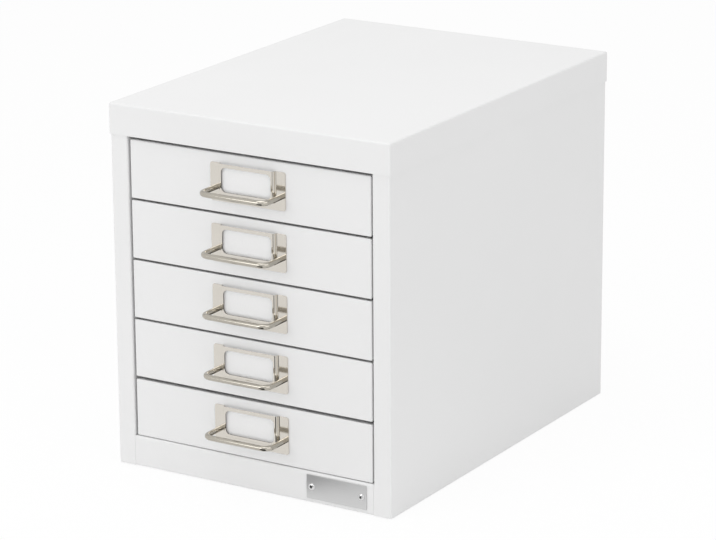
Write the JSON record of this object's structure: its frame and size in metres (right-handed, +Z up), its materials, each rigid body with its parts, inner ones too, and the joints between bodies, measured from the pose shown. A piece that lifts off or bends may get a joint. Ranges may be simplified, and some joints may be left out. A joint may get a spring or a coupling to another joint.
{
  "type": "desktop filing cabinet",
  "caption": "White sheet-steel desktop cabinet with shallow sliding drawers, each with a wire pull and a plated label holder, for papers and small things",
  "frame": {"origin": "on the desk, under the middle of the box round the whole cabinet with its pulls", "axes": "+Z up, +X to the right as seen from the front, +Y towards the back; the drawers open along -Y"},
  "size_m": [0.279, 0.4052, 0.325],
  "materials": {
    "white_powder_coat": "smooth semi-matt white powder coat",
    "satin_nickel": "bright to satin nickel plate, slightly warm",
    "name_plate": "brushed, bare",
    "rivets": "bright",
    "label_card": null,
    "rubber": "matt black",
    "zinc_steel": "zinc plate"
  },
  "bodies": {
    "cabinet": {"top_cover": "white_powder_coat", "back_panel": "white_powder_coat", "base_pan": "white_powder_coat", "front_bottom_rail": "white_powder_coat", "front_top_rail": "white_powder_coat", "name_plate": "name_plate", "name_plate_rivets": "rivets", "rubber_feet": "rubber", "left_side_panel": "white_powder_coat", "right_side_panel": "white_powder_coat", "runner_left_1": "white_powder_coat", "runner_right_1": "white_powder_coat", "runner_left_2": "white_powder_coat", "runner_right_2": "white_powder_coat", "runner_left_3": "white_powder_coat", "runner_right_3": "white_powder_coat", "runner_left_4": "white_powder_coat", "runner_right_4": "white_powder_coat", "runner_left_5": "white_powder_coat", "runner_right_5": "white_powder_coat"},
    "drawer_1": {"drawer_1_tray": "white_powder_coat", "drawer_1_front": "white_powder_coat", "drawer_1_label_holder": "satin_nickel", "drawer_1_label_card": "label_card", "drawer_1_pull": "satin_nickel", "drawer_1_pull_washers": "zinc_steel"},
    "drawer_2": {"drawer_2_tray": "white_powder_coat", "drawer_2_front": "white_powder_coat", "drawer_2_label_holder": "satin_nickel", "drawer_2_label_card": "label_card", "drawer_2_pull": "satin_nickel", "drawer_2_pull_washers": "zinc_steel"},
    "drawer_3": {"drawer_3_tray": "white_powder_coat", "drawer_3_front": "white_powder_coat", "drawer_3_label_holder": "satin_nickel", "drawer_3_label_card": "label_card", "drawer_3_pull": "satin_nickel", "drawer_3_pull_washers": "zinc_steel"},
    "drawer_4": {"drawer_4_tray": "white_powder_coat", "drawer_4_front": "white_powder_coat", "drawer_4_label_holder": "satin_nickel", "drawer_4_label_card": "label_card", "drawer_4_pull": "satin_nickel", "drawer_4_pull_washers": "zinc_steel"},
    "drawer_5": {"drawer_5_tray": "white_powder_coat", "drawer_5_front": "white_powder_coat", "drawer_5_label_holder": "satin_nickel", "drawer_5_label_card": "label_card", "drawer_5_pull": "satin_nickel", "drawer_5_pull_washers": "zinc_steel"}
  },
  "joints": [
    {"name": "drawer_1_slide", "type": "slide", "parent": "cabinet", "child": "drawer_1", "axis": [0, -1, 0], "range_m": [0, 0.3]},
    {"name": "drawer_2_slide", "type": "slide", "parent": "cabinet", "child": "drawer_2", "axis": [0, -1, 0], "range_m": [0, 0.3]},
    {"name": "drawer_3_slide", "type": "slide", "parent": "cabinet", "child": "drawer_3", "axis": [0, -1, 0], "range_m": [0, 0.3]},
    {"name": "drawer_4_slide", "type": "slide", "parent": "cabinet", "child": "drawer_4", "axis": [0, -1, 0], "range_m": [0, 0.3]},
    {"name": "drawer_5_slide", "type": "slide", "parent": "cabinet", "child": "drawer_5", "axis": [0, -1, 0], "range_m": [0, 0.3]}
  ]
}
